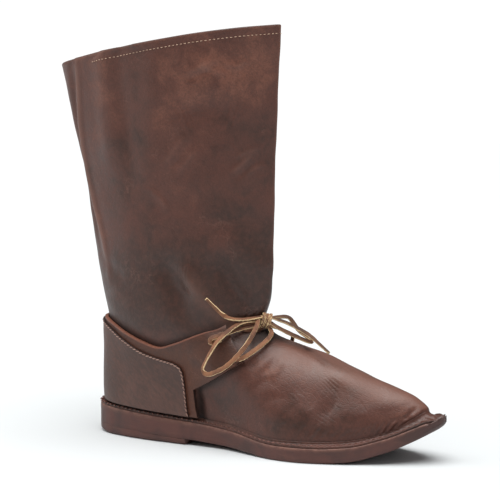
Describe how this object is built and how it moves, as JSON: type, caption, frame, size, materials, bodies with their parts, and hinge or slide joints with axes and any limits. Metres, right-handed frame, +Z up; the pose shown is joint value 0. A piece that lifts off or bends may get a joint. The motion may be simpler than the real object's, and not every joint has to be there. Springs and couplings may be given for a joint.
{
  "type": "boot",
  "caption": "Mid-calf leather boot for the right foot: open flared leg, soft foot sewn out onto a thick curved sole, and a laced ankle strap that wraps the heel.",
  "frame": {"origin": "on the floor, at the front of the heel's round, midway between its sides", "axes": "+X forward to the toe, +Y to the inner side of the foot, +Z up"},
  "size_m": [0.346, 0.0995, 0.3341],
  "materials": {
    "sole": "smooth, satin edge",
    "insole": "matt",
    "upper_leather": "waxed, mottled, satin",
    "strap_leather": "waxed, pebbled, satin",
    "lace": "matt"
  },
  "bodies": {
    "root": {"outsole": "sole", "heel_lift": "sole", "insole": "insole", "upper": "upper_leather", "heel_strap": "strap_leather", "heel_counter": "strap_leather", "lace_bars": "lace", "lace_knot": "lace", "lace_loop_outer": "lace", "lace_loop_inner": "lace", "lace_end_outer": "lace", "lace_end_inner": "lace"}
  },
  "joints": []
}
